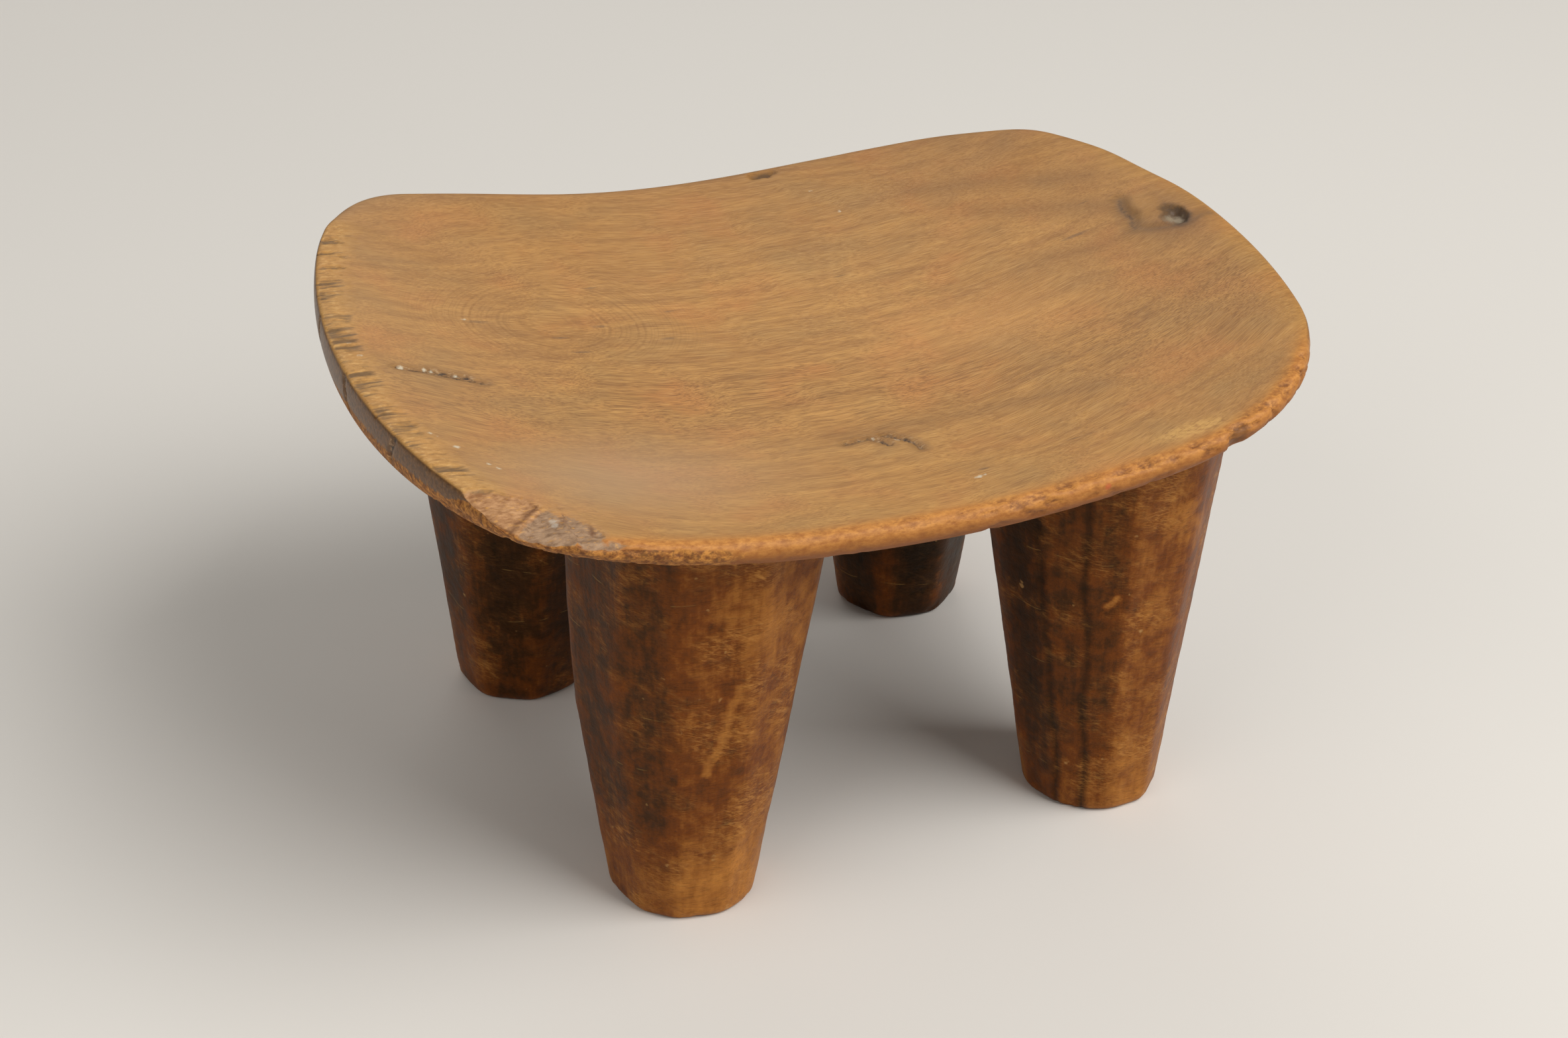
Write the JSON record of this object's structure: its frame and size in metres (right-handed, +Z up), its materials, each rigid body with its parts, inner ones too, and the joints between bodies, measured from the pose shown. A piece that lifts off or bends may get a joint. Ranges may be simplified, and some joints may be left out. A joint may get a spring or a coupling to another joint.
{
  "type": "stool",
  "caption": "Low carved wooden stool with a dished rectangular seat, rounded corners and stout tapered facetted legs, to sit on or set things on.",
  "frame": {"origin": "on the floor, under the middle of the seat", "axes": "+X along the seat's length, +Y to its rear long side, +Z up"},
  "size_m": [0.248, 0.198, 0.1371],
  "materials": {
    "seat_wood": "hand-worn satin, warm ochre brown",
    "leg_wood": "hewn, dark waxed patina worn through at the edges"
  },
  "bodies": {
    "root": {"seat": "seat_wood", "leg_front_left": "leg_wood", "leg_front_right": "leg_wood", "leg_rear_left": "leg_wood", "leg_rear_right": "leg_wood"}
  },
  "joints": []
}
